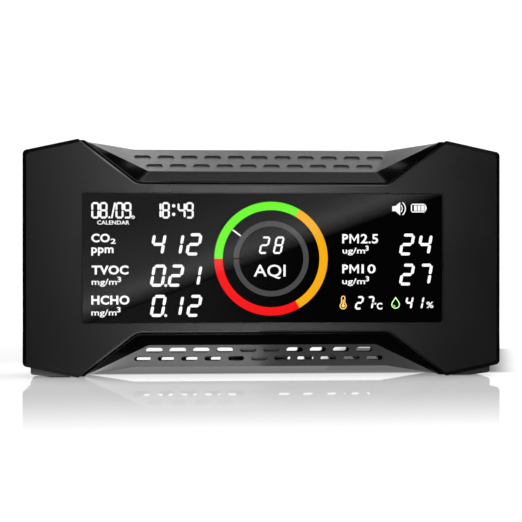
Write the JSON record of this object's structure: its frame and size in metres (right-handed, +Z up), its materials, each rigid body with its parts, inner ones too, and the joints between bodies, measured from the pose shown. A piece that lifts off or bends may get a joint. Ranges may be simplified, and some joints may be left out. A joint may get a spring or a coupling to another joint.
{
  "type": "air quality monitor",
  "caption": "Free-standing air quality monitor with a wide smoked display window, angled corner ears, slotted sloping panels, rear buttons and gas and particle sensors inside.",
  "frame": {"origin": "on the table, below the middle of the body", "axes": "+X to the viewer's right along the width, the display faces -Y, +Z up"},
  "size_m": [0.21, 0.036, 0.1039],
  "materials": {
    "bezel_shell": "satin black moulded plastic",
    "housing_shell": "finely textured black moulded plastic",
    "foot_rubber": "matte black rubber",
    "smoked_window": "polished smoked acrylic",
    "display_print": "black printed film with lit readouts",
    "white_diffuser": "white light guide",
    "board_green": "soldermask over glass-epoxy board",
    "led_package": "moulded light package",
    "chip_epoxy": "black epoxy",
    "black_nylon": "moulded nylon",
    "button_cap": "satin black plastic",
    "plated_steel": "nickel plated",
    "foam_pad": "closed-cell foam",
    "cell_wrap": "laminated foil pouch",
    "sensor_grey": "moulded plastic",
    "sensor_shield": "tinned steel",
    "fan_plastic": "moulded plastic",
    "brass_barrel": "turned brass",
    "gold_chamber": "gold-plated chamber",
    "sensor_white": "white plastic",
    "plug_cream": "cream nylon",
    "lead_red": "flexible sleeve",
    "lead_black": "flexible sleeve",
    "screw_black": "black oxide steel",
    "screw_zinc": "zinc plated steel"
  },
  "bodies": {
    "casing": {"front_bezel": "bezel_shell", "rear_housing": "housing_shell", "foot_left": "foot_rubber", "foot_right": "foot_rubber", "display_window": "smoked_window", "display_film": "display_print", "display_reflector": "white_diffuser", "display_board": "board_green", "display_leds": "led_package", "main_board": "board_green", "board_chips": "chip_epoxy", "board_header": "black_nylon", "tactile_switches": "black_nylon", "usb_socket": "plated_steel", "battery_pad": "foam_pad", "battery_cell": "cell_wrap", "pm_case": "sensor_grey", "pm_lid": "sensor_shield", "pm_axle": "plated_steel", "pm_laser": "brass_barrel", "co2_sensor": "gold_chamber", "hcho_sensor": "sensor_white", "tvoc_sensor": "sensor_shield", "climate_sensor": "sensor_white", "buzzer": "black_nylon", "battery_plug": "plug_cream", "pm_plug": "plug_cream", "battery_lead": "lead_red", "pm_lead": "lead_black", "housing_screws": "screw_black", "display_screws": "screw_zinc", "board_screws": "screw_zinc"},
    "power_button": {"power_button": "button_cap"},
    "menu_button": {"menu_button": "button_cap"},
    "up_button": {"up_button": "button_cap"},
    "down_button": {"down_button": "button_cap"},
    "impeller": {"pm_impeller": "fan_plastic"}
  },
  "joints": [
    {"name": "power_button_press", "type": "slide", "parent": "casing", "child": "power_button", "axis": [0, -1, 0], "range_m": [0, 0.0008], "stiffness_N_per_m": 900, "springref_m": -0.0002},
    {"name": "menu_button_press", "type": "slide", "parent": "casing", "child": "menu_button", "axis": [0, -1, 0], "range_m": [0, 0.0008], "stiffness_N_per_m": 900, "springref_m": -0.0002},
    {"name": "up_button_press", "type": "slide", "parent": "casing", "child": "up_button", "axis": [0, -1, 0], "range_m": [0, 0.0008], "stiffness_N_per_m": 900, "springref_m": -0.0002},
    {"name": "down_button_press", "type": "slide", "parent": "casing", "child": "down_button", "axis": [0, -1, 0], "range_m": [0, 0.0008], "stiffness_N_per_m": 900, "springref_m": -0.0002},
    {"name": "impeller_spin", "type": "hinge", "parent": "casing", "child": "impeller", "pos_m": [0.047, 0.0045, 0.067], "axis": [0, 1, 0], "continuous": true}
  ]
}
